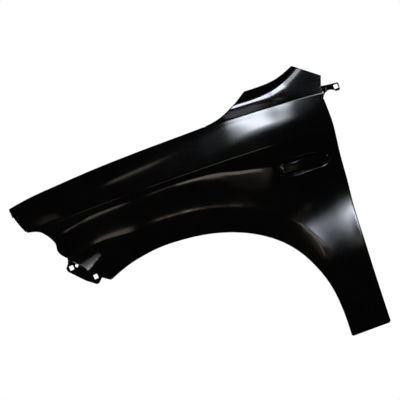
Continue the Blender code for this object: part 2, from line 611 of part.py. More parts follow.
def hole_cutters(frames, sides, n):
    """All holes punched in the panel, as closed prisms in one mesh."""
    bm = bmesh.new()

    def at(name, share):
        a, b, v, t = frames[name]
        k = share * (len(a) - 1)
        i = min(int(k), len(a) - 2)
        f = k - i
        mid = 0.5 * (a + b)
        return mid[i] * (1 - f) + mid[i + 1] * f, v[i], t[i]

    for u, long in HOOD_SLOTS:                                   # hood rail flange, bolted to the apron
        a, b, _, _ = frames["hood"]
        y = np.interp(u, a[:, 0], 0.5 * (a + b)[:, 1])
        prism(bm, slot(long, 8.5, sides), (u, y + 0.5, float(pchip(HOOD_SEAT_U, HOOD_SEAT_W, u))), (0, 0, 1), (1, 0, 0), 8)
    for share in (0.07, 0.25, 0.42, 0.6, 0.77, 0.93):            # arch lip, for the liner's clips
        c, v, t = at("arch", share)
        prism(bm, slot(7.5, 7.5, sides), c, v, t, 8)
    for share, long in ((0.30, 16.0), (0.74, 9.5)):              # sill flange, bolted from below
        c, v, t = at("sill", share)
        prism(bm, slot(long, 9.5, sides), (c[0], c[1] + 1, c[2]), (0, 0, 1), (1, 0, 0), 8)
    for share in (0.13, 0.5):                                    # door edge flange
        c, v, t = at("door", share)
        prism(bm, slot(6.5, 6.5, sides), c, v, t, 8)
    for share in (0.3, 0.72):                                    # headlamp edge flange
        c, v, t = at("lamp", share)
        prism(bm, slot(5.5, 5.5, sides), c, v, t, 8)
    tab = Vector((TAB_PLANE[2], 1, 0)).normalized()              # bumper tab, three square nut holes
    for u, w, side, deg in TAB_HOLES:
        y = -(TAB_PLANE[1] + TAB_PLANE[2] * (u - TAB_PLANE[0]))
        a = math.radians(deg)
        prism(bm, square(side, 1.8, n), (u, y, w), tab, (math.cos(a), 0, math.sin(a)), 16)
    u, w, side, deg = REAR_HOLE
    a = math.radians(deg)
    prism(bm, square(side, 1.8, n), (u, -REAR_TAB_OUT, w), (0, 1, 0), (math.cos(a), 0, math.sin(a)), 10)
    return bm


HOOD_SLOTS = [(-315, 13.0), (22, 13.0), (118, 8.5)]
TAB_HOLES = [(-372.2, 394.0, 13.5, 2.0), (-355.3, 395.2, 9.0, -45.0), (-312.3, 344.5, 13.5, 4.0)]
REAR_HOLE = (561.2, 630.2, 13.0, 3.0)

# ------------------------------------------------------------------ the object
def clear_scene():
    for o in list(bpy.data.objects):
        bpy.data.objects.remove(o, do_unlink=True)


def collection(name):
    c = bpy.data.collections.new(name)
    bpy.context.scene.collection.children.link(c)
    return c


def place(bm, shift):
    bmesh.ops.translate(bm, vec=-Vector(shift), verts=bm.verts)
    bmesh.ops.scale(bm, vec=(0.001, 0.001, 0.001), verts=bm.verts)


def to_object(bm, name, home):
    me = bpy.data.meshes.new(name)
    bm.to_mesh(me)
    bm.free()
    o = bpy.data.objects.new(name, me)
    home.objects.link(o)
    return o


def black_primer():
    m = bpy.data.materials.new("black_primer")
    m.use_nodes = True
    p = m.node_tree.nodes["Principled BSDF"]
    p.inputs["Base Color"].default_value = (0.012, 0.012, 0.013, 1)
    p.inputs["Roughness"].default_value = 0.28
    p.inputs["Metallic"].default_value = 0.0
    return m


def main():
    clear_scene()
    parts, cutters = collection("car_fender"), collection("cutters")
    bm, frames = build_sheet(EDGE_STEP, FEATURE_STEP, GRID_STEP, 0, 3)
    holes = hole_cutters(frames, 12, 2)
    place(bm, SEAT)
    place(holes, SEAT)
    panel = to_object(bm, "fender_panel", parts)
    panel.data.materials.append(black_primer())
    cut = to_object(holes, "punched_holes", cutters)
    cut.hide_render = True
    cut.display_type = "WIRE"
    skin = panel.modifiers.new("sheet", "SOLIDIFY")
    skin.thickness = SHEET / 1000
    skin.offset = -1
    skin.use_even_offset = True
    punch = panel.modifiers.new("holes", "BOOLEAN")
    punch.operation = "DIFFERENCE"
    punch.solver = "EXACT"
    punch.object = cut
    panel.data.shade_smooth()
    panel.data.set_sharp_from_angle(angle=math.radians(35))


main()
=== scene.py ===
"""Car fender in black primer: the visual model, its material, floor, light and camera.

The panel is shaped here by the same functions as its CAD, on a finer mesh.
Frame: metres, +X to the rear of the car, -Y outward, +Z up. The shape functions work in millimetres:
u to the rear and w up from the wheel centre, out outward.
"""
import math

import bmesh
import bpy
import numpy as np
from mathutils import Matrix, Vector
from mathutils.geometry import delaunay_2d_cdt


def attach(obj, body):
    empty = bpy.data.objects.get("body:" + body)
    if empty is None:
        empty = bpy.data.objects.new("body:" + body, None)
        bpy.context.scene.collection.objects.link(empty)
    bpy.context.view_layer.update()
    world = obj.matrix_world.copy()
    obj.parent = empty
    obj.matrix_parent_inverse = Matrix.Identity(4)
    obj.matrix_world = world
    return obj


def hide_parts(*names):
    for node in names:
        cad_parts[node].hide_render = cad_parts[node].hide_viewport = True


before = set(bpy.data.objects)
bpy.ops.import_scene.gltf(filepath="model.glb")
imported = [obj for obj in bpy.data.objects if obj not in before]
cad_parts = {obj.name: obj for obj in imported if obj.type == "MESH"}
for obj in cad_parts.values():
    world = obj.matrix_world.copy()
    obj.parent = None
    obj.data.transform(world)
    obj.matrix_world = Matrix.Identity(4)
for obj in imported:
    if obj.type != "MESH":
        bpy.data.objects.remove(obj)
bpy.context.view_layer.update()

SHEET = 0.8                 # thickness of the steel, mm
# ------------------------------------------------------------------ curves
def pchip(xs, ys, t):
    """Monotone cubic through (xs, ys), straight beyond its ends."""
    xs, ys, t = np.asarray(xs, float), np.asarray(ys, float), np.asarray(t, float)
    h = np.diff(xs)
    d = np.diff(ys) / h
    m = np.zeros_like(ys)
    same = d[:-1] * d[1:] > 0
    a, b = 2 * h[1:] + h[:-1], h[1:] + 2 * h[:-1]
    den = np.where(same, a / np.where(d[:-1] == 0, 1, d[:-1]) + b / np.where(d[1:] == 0, 1, d[1:]), 1)
    m[1:-1] = np.where(same, (a + b) / den, 0)
    m[0], m[-1] = d[0], d[-1]
    i = np.clip(np.searchsorted(xs, t) - 1, 0, len(xs) - 2)
    s = (t - xs[i]) / h[i]
    c = np.clip(s, 0, 1)
    v = ((2 * c**3 - 3 * c**2 + 1) * ys[i] + (c**3 - 2 * c**2 + c) * h[i] * m[i]
         + (3 * c**2 - 2 * c**3) * ys[i + 1] + (c**3 - c**2) * h[i] * m[i + 1])
    return v + (s - c) * h[i] * np.where(s > 0.5, m[i + 1], m[i])


def cubic(xs, ys, t):
    """Natural cubic spline through (xs, ys), straight beyond its ends."""
    xs, ys, t = np.asarray(xs, float), np.asarray(ys, float), np.asarray(t, float)
    n = len(xs)
    h = np.diff(xs)
    A, r = np.zeros((n, n)), np.zeros(n)
    A[0, 0] = A[-1, -1] = 1
    for i in range(1, n - 1):
        A[i, i - 1:i + 2] = h[i - 1], 2 * (h[i - 1] + h[i]), h[i]
        r[i] = 6 * ((ys[i + 1] - ys[i]) / h[i] - (ys[i] - ys[i - 1]) / h[i - 1])
    M = np.linalg.solve(A, r)
    tc = np.clip(t, xs[0], xs[-1])
    i = np.clip(np.searchsorted(xs, tc) - 1, 0, n - 2)
    a, b = xs[i + 1] - tc, tc - xs[i]
    v = ((M[i] * a**3 + M[i + 1] * b**3) / (6 * h[i])
         + (ys[i] / h[i] - M[i] * h[i] / 6) * a + (ys[i + 1] / h[i] - M[i + 1] * h[i] / 6) * b)
    s0 = (ys[1] - ys[0]) / h[0] - h[0] * M[1] / 6
    s1 = (ys[-1] - ys[-2]) / h[-1] + h[-1] * M[-2] / 6
    return v + np.where(t < xs[0], (t - xs[0]) * s0, 0) + np.where(t > xs[-1], (t - xs[-1]) * s1, 0)


def smooth(x):
    x = np.clip(x, 0, 1)
    return x * x * (3 - 2 * x)


def through(points, step, closed=False):
    """Smooth curve through 2-D points, sampled about every `step` along it."""
    P = np.array(points, float)
    n = len(P)
    if closed:
        P = np.vstack([P[-4:], P, P[:5]])
    d = np.r_[0, np.cumsum(np.hypot(*np.diff(P, axis=0).T))]
    a, b = (d[4], d[4 + n]) if closed else (d[0], d[-1])
    t = np.linspace(a, b, int((b - a) / 0.5) + 2)
    Q = np.c_[cubic(d, P[:, 0], t), cubic(d, P[:, 1], t)]
    L = np.r_[0, np.cumsum(np.hypot(*np.diff(Q, axis=0).T))]
    s = np.linspace(0, L[-1], max(1, int(round(L[-1] / step))) + 1)
    R = np.c_[np.interp(s, L, Q[:, 0]), np.interp(s, L, Q[:, 1])]
    return R[:-1] if closed else R


def straight(points, step):
    """Polyline through 2-D points with its straight runs divided about every `step`."""
    out = [np.array(points[0], float)]
    for a, b in zip(points[:-1], points[1:]):
        a, b = np.array(a, float), np.array(b, float)
        n = max(1, int(round(np.hypot(*(b - a)) / step)))
        out += [a + (b - a) * k / n for k in range(1, n + 1)]
    return np.array(out)


def line_distance(u, w, Q):
    """Distance to a polyline, and the side it is on (+ left of its run)."""
    best, side = np.full(u.shape, 1e18), np.zeros(u.shape)
    for a, b in zip(Q[:-1], Q[1:]):
        e = b - a
        s = np.clip(((u - a[0]) * e[0] + (w - a[1]) * e[1]) / (e @ e), 0, 1)
        du, dw = u - a[0] - s * e[0], w - a[1] - s * e[1]
        d2 = du * du + dw * dw
        nearer = d2 < best
        best = np.where(nearer, d2, best)
        side = np.where(nearer, e[0] * dw - e[1] * du, side)
    return np.sqrt(best), side


def inside(u, w, Q):
    c = np.zeros(np.shape(u), bool)
    for a, b in zip(Q, np.roll(Q, -1, axis=0)):
        c ^= ((a[1] > w) != (b[1] > w)) & (u < (b[0] - a[0]) * (w - a[1]) / (b[1] - a[1] + 1e-30) + a[0])
    return c


def depth_in(u, w, Q):
    """Distance inside a closed outline, negative outside it."""
    d, _ = line_distance(u, w, np.vstack([Q, Q[:1]]))
    return np.where(inside(u, w, Q), d, -d)
# ------------------------------------------------------------------ outline, as seen square on from outside
# u runs to the rear of the car from the wheel centre, w runs up from it, o is how far the sheet stands outward (mm)
HOOD_A = [(-492, 624), (-435, 633.5), (-346, 641), (-226, 648), (-107, 651.5), (0, 652.5), (110, 652.5), (150, 653)]
HOOD_B = [(150, 653), (191, 659), (233.5, 674), (273, 695.5), (298, 712)]
COWL_TOP = [(298, 712), (343, 710.5), (372, 711), (402, 715), (431, 724), (458, 735)]
COWL_END = [(458, 735), (531, 677)]
REAR_TAB = [(531, 677), (520, 647), (533, 644.5), (569, 640.5), (572, 637), (570.5, 619), (567, 616), (557, 617),
            (551, 622.5), (543, 626.5), (534, 627), (525, 623.5), (519, 618), (515, 611)]
DOOR = [(515, 611), (516, 572), (516, 542), (512, 498), (504, 438), (496, 349), (489, 290), (483, 186),
        (477.6, 81), (474, -8), (471, -90)]
SILL = [(471, -90), (346.5, -90)]
ARCH = [(346.5, -90), (348.5, -30), (347, 19), (339, 78), (321, 135), (287, 201.5), (238, 257), (176, 300),
        (107.5, 330), (35, 349), (-39, 358), (-99, 359.5), (-158, 353), (-216, 340), (-272, 319)]
FRONT_TAB = [(-272, 319), (-284, 326.5), (-296, 335), (-310, 322.5), (-317, 321.5), (-345, 343), (-386, 386),
             (-388.5, 397), (-378, 411), (-374, 424)]
LAMP = [(-374, 424), (-384, 435), (-393, 448), (-395.5, 461), (-393.5, 475), (-397, 489), (-404, 502),
        (-412.5, 514), (-423, 525), (-436, 532), (-464.5, 540)]
NOSE = [(-464.5, 540), (-476, 567), (-485, 595), (-492, 624)]


# ------------------------------------------------------------------ feature lines
def main_crease(u):
    return cubic([-500, -365, -226, -67, 92, 251, 313, 407, 462, 520], [536.5, 539, 541.5, 540, 537, 532, 529, 523, 518, 511.5], u)


def lower_crease(u):
    return cubic([-500, -369, -320, -280, -240, -200, -107, -40, 0, 40, 80, 120, 160, 200, 240, 280, 320, 400, 520],
                 [462, 507, 516, 522, 525, 525.5, 526, 527, 526, 523.5, 520, 514.5, 506.5, 495.5, 487, 476, 466, 448, 430], u)


def shoulder(u):
    return cubic([-500, -200, 100, 202, 258, 321, 383, 430, 476, 530], [640, 646, 649, 649, 646, 642.5, 637.5, 633, 628, 620], u)


def pillar_edge(u):
    return cubic([-500, 150, 251, 290, 338, 371, 406, 445, 472, 530], [684, 683, 681.5, 681.5, 682, 685.5, 695, 712, 727, 765], u)


# plan view: how fast the main crease moves outward towards the rear
PLAN_U = [-520, -400, -250, -100, 100, 300, 370, 440, 520]
PLAN_SLOPE = [0.50, 0.33, 0.19, 0.115, 0.045, 0.0, -0.045, -0.085, -0.095]

# lean of the sheet in degrees, + where it faces up, at set places across each section
# above the main crease, from it up to the top edge
LEAN_UP = {
    -490: (9, 13, 15, 25, 30, 34, 36, 40, 43, 45, 46, 50, 52),
    -400: (10, 14, 15, 25, 30, 34, 36, 40, 43, 45, 46, 50, 52),
    -300: (12, 16, 17, 24, 29, 33, 36, 40, 43, 45, 46, 50, 52),
    -200: (12, 16, 17, 22.5, 29, 33, 35, 40, 43, 45, 46, 50, 52),
    -100: (12, 16, 17, 21, 27, 32, 34, 40, 43, 45, 46, 50, 52),
    -20: (11, 14, 16, 20, 26, 31, 33, 40, 43, 45, 46, 50, 52),
    60: (10, 12, 14, 19, 25, 29.5, 32, 40, 43, 45, 46, 50, 52),
    130: (9, 10.5, 12, 17.5, 23, 27, 28, 37, 40, 41, 42, 52, 55),
    220: (8, 9, 10.5, 15.5, 20, 24, 22.5, 36, 37, 31, 20, 56, 60),
    290: (8, 9, 10, 15, 20, 23.5, 22, 37, 38, 32, 20, 60, 64),
    360: (8, 9, 9.5, 14.5, 19.5, 21.5, 20.5, 36, 34, 29, 20.5, 60, 66),
    430: (7, 8, 8, 12.5, 17, 18, 17, 29, 27.5, 24.5, 20.5, 60, 68),
    500: (6, 7, 7, 10, 14, 15, 15, 25.5, 25.5, 24.5, 20, 60, 70),
}
# below it, down to the foot of the panel
LEAN_DOWN = {
    -490: (-12, -9, 6, 3.5, 1, 0, 0, 0, 0, 0, 0, 0),
    -380: (-12, -9, 6.5, 3.5, 1, 0, 0, 0, 0, 0, 0, 0),
    -280: (-12, -9, 6, 2.5, 0, -1, 0, 0, 0, 0, 0, 0),
    -150: (-12, -9, 5.5, 2, -1, -2, -1, 0, 0, 0, 0, 0),
    0: (-13, -10, 5.5, 2, -1, -2, -1, 0, 0, 0, 0, 0),
    100: (-13, -10, 6.5, 3, 0, -1, -1, 0, 0, 0, 0, 0),
    200: (-12, -8, 7, 4.5, 3.5, 2.5, 0, 2, 2, 0, -1, -1),
    270: (-10, -6, 6.5, 5, 4.5, 3, 3, 8, 6, 1, -2, -3),
    360: (-8, -4, 0, 0, 1, 2, 8, 15.6, 14.5, 2, -3, -4),
    430: (-6, -3, -1, -1, 0, 2, 10, 16.3, 14.5, 2, -4, -5),
    500: (-4, -2, -1, 0, 4, 6, 12, 18.5, 15, 2, -4, -5),
}

# wheel arch flare, by the angle round the wheel centre in degrees
ARCH_ANGLE = [np.degrees(math.atan2(w, u)) for u, w in ARCH]
ARCH_RADIUS = [math.hypot(u, w) for u, w in ARCH]
FLARE_ANGLE = [-20, 0, 20, 38, 60, 90, 104, 112, 119, 126, 150]
FLARE_WIDTH = [56, 57, 61, 70, 73, 73, 74, 81, 102, 119, 136]      # arch edge to the flare's crease
FLARE_LEAN = [0, 0, 3, 4, 6, 13, 11.5, 10.5, 9.5, 8, 4]            # lean of the ledge outside the crease
FLARE_LEDGE = [40, 40, 42, 48, 56, 56, 62, 62, 50, 42, 42]         # width of the ledge
FLARE_FADE = [2, 2, 2, 2, 2, 2, 1.4, 1, 1, 1, 1]                   # how fast that lean fades over the ledge
FLARE_TURN = [1, 1, 3, 5, 4, 3, 2.4, 2, 2, 2, 2]                   # the band inside the crease turns towards the wheel
FLARE_ROUND = 3.0

# recess for the side lamp behind the wheel arch
POCKET = [(299, 462), (304, 474), (330, 477), (365, 474), (400, 471.5), (428, 467.5), (455, 458), (467, 444),
          (467, 430), (455, 422.5), (415, 421), (378, 421), (344, 424), (318, 433), (303, 448)]
POCKET_PAD = [(322, 463), (363, 461), (402, 457.5), (405, 445), (399, 438), (372, 435.5), (350, 434.5), (327, 440)]
POCKET_DEPTH, POCKET_WALL, PAD_RISE = 10.0, 8.0, 3.5

# front lower corner: the skin ends in a pointed wedge above the joggled bumper tab
WEDGE = (-326.0, 367.0)
JOGGLE = [(-400, 432), (-373, 421), (-345, 393.5), (-326, 367), (-273, 396), (-235, 416)]
WEDGE_TUCK, WEDGE_REACH = 9.0, 40.0      # the wedge turns in towards its point by this much over this height
TAB_PLANE = (-340.0, -74.0, 0.30)        # u, outward position there, slope along u
REAR_TAB_OUT = -19.0                     # outward position of the rear upper tab
SEAT = (0.0, 82.5, 624.2)                # where the hood rail flange sits on the apron: the object's origin

# ------------------------------------------------------------------ the die surface
STEP_U, STEP_T = 4.0, 0.5
GRID_U = np.arange(-520, 600.1, STEP_U)
GRID_T = np.arange(-700, 300.1, STEP_T)


def section_table():
    """Outward position over each section, from its lean integrated both ways from the main crease."""
    su, sd = sorted(LEAN_UP), sorted(LEAN_DOWN)
    up = np.stack([pchip(su, [LEAN_UP[s][k] for s in su], GRID_U) for k in range(13)], 1)
    dn = np.stack([pchip(sd, [LEAN_DOWN[s][k] for s in sd], GRID_U) for k in range(12)], 1)
    c1, c2, sh, pe = main_crease(GRID_U), lower_crease(GRID_U), shoulder(GRID_U), pillar_edge(GRID_U)
    table = np.zeros((len(GRID_U), len(GRID_T)))
    for i in range(len(GRID_U)):
        k2 = max(sh[i] - 48, c1[i] + 38)
        k3 = max(sh[i] - 26, k2 + 14)
        k4 = max(sh[i] - 12, k3 + 8)
        k5 = max(sh[i] - 4, k4 + 6)
        k6 = max(sh[i] + 5, k5 + 7)
        k8 = max(pe[i] - 24, k6 + 16)
        k9 = max(pe[i] - 3, k8 + 14)
        above = [c1[i] + 2, c1[i] + 9, c1[i] + 28, k2, k3, k4, k5, k6, k6 + 12, k8, k9, k9 + 7, k9 + 33]
        top = min(400, c2[i] - 60)
        below = [-100, -20, 80, 170, 250, min(340, top - 40), top, c2[i] - 35, c2[i] - 15, c2[i] - 5,
                 min(c2[i] + 4, c1[i] - 9), c1[i] - 3]
        lean = pchip(np.r_[below, above], np.r_[dn[i][::-1], up[i]], c1[i] + GRID_T)
        slope = -np.tan(np.radians(np.clip(lean, -40, 75)))
        run = np.r_[0, np.cumsum(0.5 * (slope[1:] + slope[:-1])) * STEP_T]
        table[i] = run - np.interp(0.0, GRID_T, run)
    k = np.array([1, 4, 6, 4, 1]) / 16
    wide = np.pad(table, ((2, 2), (0, 0)), mode="edge")
    return sum(k[m] * wide[m:m + len(GRID_U)] for m in range(5))


def catmull(f):
    return (-f**3 + 2 * f**2 - f) / 2, (3 * f**3 - 5 * f**2 + 2) / 2, (-3 * f**3 + 4 * f**2 + f) / 2, (f**3 - f**2) / 2


TABLE = section_table()
_slope = cubic(PLAN_U, PLAN_SLOPE, GRID_U)
PLAN_OUT = np.r_[0, np.cumsum(0.5 * (_slope[1:] + _slope[:-1])) * STEP_U]
PLAN_OUT -= np.interp(300.0, GRID_U, PLAN_OUT)


def sections(u, w):
    t = w - main_crease(u)
    fu, ft = (u - GRID_U[0]) / STEP_U, (t - GRID_T[0]) / STEP_T
    i = np.clip(np.floor(fu).astype(int), 1, len(GRID_U) - 3)
    j = np.clip(np.floor(ft).astype(int), 0, len(GRID_T) - 2)
    b = ft - j
    return sum(c * (PLAN_OUT[i - 1 + k] + TABLE[i - 1 + k, j] * (1 - b) + TABLE[i - 1 + k, j + 1] * b)
               for k, c in enumerate(catmull(fu - i)))


def arch_distance(u, w):
    a = np.degrees(np.arctan2(w, u))
    a = np.where(a < -90, a + 360, a)
    return np.hypot(u, w) - cubic(ARCH_ANGLE, ARCH_RADIUS, np.clip(a, -16, 146)), a


def flare(u, w):
    d, a = arch_distance(u, w)
    width, ledge = cubic(FLARE_ANGLE, FLARE_WIDTH, a), cubic(FLARE_ANGLE, FLARE_LEDGE, a)
    lean = np.tan(np.radians(np.clip(cubic(FLARE_ANGLE, FLARE_LEAN, np.clip(a, -20, 150)), 0, 30)))
    turn = np.tan(np.radians(np.clip(cubic(FLARE_ANGLE, FLARE_TURN, np.clip(a, -20, 150)), 0, 30)))
    q = d - width
    y = np.clip(q / ledge, 0, 1)
    fade = cubic(FLARE_ANGLE, FLARE_FADE, np.clip(a, -20, 150))
    out = lean * ledge * (1 - y)**(fade + 1) / (fade + 1) - turn * np.clip(-q, 0, None)
    return out - (lean + turn) * FLARE_ROUND * 0.5 * (1 - np.clip(np.abs(q) / (2 * FLARE_ROUND), 0, 1))**2


_pocket, _pad = through(POCKET, 4, True), through(POCKET_PAD, 4, True)


def pocket(u, w):
    r = np.zeros(u.shape)
    m = (u > 285) & (u < 482) & (w > 405) & (w < 492)
    if m.any():
        a, b = u[m], w[m]
        r[m] = (-POCKET_DEPTH * smooth((depth_in(a, b, _pocket) + 1.5) / POCKET_WALL)
                + smooth((depth_in(a, b, _pad) + 1) / 4) * (PAD_RISE - 0.10 * (b - 435)))
    return r


def corner(u, w, out):
    """Front lower corner and the joggle down to the bumper tab's plane."""
    m = (u < -200) & (w < 470)
    if not m.any():
        return out
    a, b, o = u[m], w[m], out[m]
    d, side = line_distance(a, b, np.array(JOGGLE, float))
    below = side < 0
    t = np.clip(((b - WEDGE[1]) * 0.94 - (a - WEDGE[0]) * 0.20) / WEDGE_REACH, 0, 1)
    skin = o - WEDGE_TUCK * (1 - t)**1.35 * (1 - smooth((a + 290) / 40))
    plane = TAB_PLANE[1] + TAB_PLANE[2] * (a - TAB_PLANE[0])
    low = np.where(a < -300, plane, plane + (o - 9 - plane) * smooth((a + 300) / 30))
    low = low * 1.0
    fade = 1 - smooth((a + 326) / 66)
    base = o + (low - o) * fade
    out = out.copy()
    out[m] = np.where(below, skin + (base - skin) * smooth((d + 1.0) / 5.5), skin)
    return out


def outward(u, w):
    u, w = np.asarray(u, float), np.asarray(w, float)
    out = corner(u, w, sections(u, w) + flare(u, w) + pocket(u, w))
    k = smooth((u - 519) / 11) * smooth((653 - w) / 6) * smooth((w - 600) / 12)
    return out + (REAR_TAB_OUT - out) * k


def normals(u, w, e=0.5):
    a = (outward(u + e, w) - outward(u - e, w)) / (2 * e)
    b = (outward(u, w + e) - outward(u, w - e)) / (2 * e)
    n = np.stack([-a, -np.ones_like(a), -b], -1)
    return n / np.linalg.norm(n, axis=-1, keepdims=True)
# ------------------------------------------------------------------ the trimmed sheet
def edges_of(step):
    """Named runs of the outline, clockwise as seen from outside, sampled about every `step`."""
    fine = step * 0.55
    return [
        ("hood", through(HOOD_A, step)), ("hood_rear", through(HOOD_B, step)), ("cowl", through(COWL_TOP, step)),
        ("cowl_end", straight(COWL_END, step)), ("rear_tab", straight(REAR_TAB, fine)), ("door", through(DOOR, step)),
        ("sill", straight(SILL, step)), ("arch", through(ARCH, step)), ("front_tab", straight(FRONT_TAB, fine)),
        ("lamp", through(LAMP, fine)), ("nose", through(NOSE, fine)),
    ]


FOLDED = {"hood", "hood_rear", "door", "sill", "arch", "lamp", "nose"}
STEEP = {"hood", "hood_rear"}  # the sheet leans back so far here that the bend hardly stands out past its start
BEND = 2.5                  # bend radius of the folded edges, mm
RELIEF = 3.2                # how far a fold stops short of a corner


def inset(P, d):
    t = np.gradient(P, axis=0)
    t /= np.linalg.norm(t, axis=1)[:, None]
    return P + d * np.c_[t[:, 1], -t[:, 0]]


def cut_back(P, d):
    """Takes d off both ends of a run of points."""
    L = np.r_[0, np.cumsum(np.hypot(*np.diff(P, axis=0).T))]
    s = np.r_[d, L[(L > 1.3 * d) & (L < L[-1] - 1.3 * d)], L[-1] - d]
    return np.c_[np.interp(s, L, P[:, 0]), np.interp(s, L, P[:, 1])]


def outline(step):
    """The blank's outline. A folded run is set in by the bend radius and cut back, which leaves a relief at its ends."""
    runs, pts = [], []
    named = edges_of(step)
    for k, (name, P) in enumerate(named):
        if name in FOLDED:
            P = cut_back(inset(P, 0.6 if name in STEEP else BEND), RELIEF)
        elif named[(k + 1) % len(named)][0] not in FOLDED:
            P = P[:-1]
        runs.append((name, len(pts), len(pts) + len(P)))
        pts += list(P)
    return np.array(pts), runs


def feature_rows(step, detail):
    """Lines that the mesh follows, each as a run of 2-D points."""
    rows = []
    lo, hi = -520.0, 560.0
    n = int((hi - lo) / step)
    u = np.linspace(lo, hi, n + 1)
    crease = (-3.2, 0, 3.2) if detail == 0 else (-4.5, -3, -1.5, 0, 1.5, 3, 4.5)
    soft = (-5, 5) if detail == 0 else (-6, -3, 0, 3, 6)
    for k in crease:
        rows.append((u, main_crease(u) + k))
    m = u < 300
    for k in soft:
        v = np.minimum(lower_crease(u) + k, main_crease(u) - 9)
        rows.append((u[m], v[m]))
    m = u > 170
    for k in ((-5, 4) if detail == 0 else (-6, -4, -2, 0, 2, 4, 6)):
        rows.append((u[m], shoulder(u[m]) + k))
    m = u > 215
    for k in ((-3, 4) if detail == 0 else (-5, -3, -1, 1, 3, 5)):
        rows.append((u[m], pillar_edge(u[m]) + k))
    a = np.radians(np.arange(-14, 150, math.degrees(step / 430)))
    base = cubic(ARCH_ANGLE, ARCH_RADIUS, np.degrees(a)) + cubic(FLARE_ANGLE, FLARE_WIDTH, np.degrees(a))
    for k in ((-4, 4) if detail == 0 else (-5, -2.5, 0, 2.5, 5)):
        rows.append(((base + k) * np.cos(a), (base + k) * np.sin(a)))
    return rows


def offset_ring(points, step, d):
    """Closed outline moved inwards by d."""
    Q = through(points, step, True)
    t = np.roll(Q, -1, 0) - np.roll(Q, 1, 0)
    t /= np.linalg.norm(t, axis=1)[:, None]
    n = np.c_[t[:, 1], -t[:, 0]]
    area = 0.5 * np.sum(Q[:, 0] * np.roll(Q[:, 1], -1) - np.roll(Q[:, 0], -1) * Q[:, 1])
    return Q + d * n * (-1 if area > 0 else 1)


def sheet_points(edge, feature, grid, detail):
    """2-D points and constraint edges of the trimmed blank."""
    border, runs = outline(edge)
    pts, lines = [tuple(p) for p in border], []
    n0 = len(border)
    lines += [(i, (i + 1) % n0) for i in range(n0)]
    keep = list(border)

    def add(P, closed, clear):
        ok = inside(P[:, 0], P[:, 1], border)
        d, _ = line_distance(P[:, 0], P[:, 1], np.vstack([border, border[:1]]))
        ok &= d > clear
        prev, first = None, None
        for p, good in zip(P, ok):
            if good:
                k = len(pts)
                pts.append(tuple(p))
                keep.append(p)
                if prev is not None:
                    lines.append((prev, k))
                if first is None:
                    first = k
                prev = k
            else:
                prev = None
        if closed and ok.all():
            lines.append((prev, first))

    clear = 0.35 * min(edge, feature)
    in_pocket = through(POCKET, 6, True)
    for u, w in feature_rows(feature, detail):
        P = np.c_[u, w]
        d = depth_in(u, w, in_pocket)
        wedge = np.hypot(u + 320, w - 380) > 62
        for block in np.split(np.arange(len(P)), np.where(np.diff(((d < -9) & wedge).astype(int)) != 0)[0] + 1):
            if len(block) > 1 and (d[block[0]] < -9) and wedge[block[0]]:
                add(P[block], False, clear)
    for d in ((-1.5, 6.5) if detail == 0 else (-3, -1.5, 0, 1.5, 3, 4.5, 6, 7)):
        add(offset_ring(POCKET, min(feature, 11.0), d), True, clear)
    for d in ((-1, 3) if detail == 0 else (-1.5, 0, 1.5, 3)):
        add(offset_ring(POCKET_PAD, min(feature, 11.0), d), True, clear)
    J = straight(JOGGLE[1:], min(feature, 12.0))
    t = np.gradient(J, axis=0)
    t /= np.linalg.norm(t, axis=1)[:, None]
    for d in ((0.6, -5.2) if detail == 0 else (1, -0.5, -2, -3.5, -5.5)):
        add(J + d * np.c_[-t[:, 1], t[:, 0]], False, clear)

    # filling grid of equilateral triangles
    keep = np.array(keep)
    gx, gy = np.meshgrid(np.arange(-500, 580, grid), np.arange(-100, 745, grid * math.sqrt(3) / 2))
    gx = gx + (np.arange(gx.shape[0]) % 2)[:, None] * grid / 2
    P = np.c_[gx.ravel(), gy.ravel()]
    P = P[inside(P[:, 0], P[:, 1], border)]
    near = np.full(len(P), 1e9)
    for k in range(0, len(keep), 400):
        d = np.hypot(P[:, None, 0] - keep[None, k:k + 400, 0], P[:, None, 1] - keep[None, k:k + 400, 1]).min(1)
        near = np.minimum(near, d)
    P = P[near > 0.55 * grid]
    pts += [tuple(p) for p in P]
    return pts, lines, n0, runs


def turn_towards(v, target, share):
    """Direction that has gone `share` of the way from v to target."""
    dot = np.clip((v * target).sum(-1, keepdims=True), -1, 1)
    th = np.arccos(dot)
    s = np.where(np.sin(th) < 1e-6, 1, np.sin(th))
    r = np.sin((1 - share) * th) / s * v + np.sin(share * th) / s * target
    return r / np.linalg.norm(r, axis=-1, keepdims=True), th


HOOD_SEAT_U = [-490, -345, -285, -60, 150]
HOOD_SEAT_W = [597, 613, 613, 625, 625]            # height of the hood rail flange, level where it is bolted


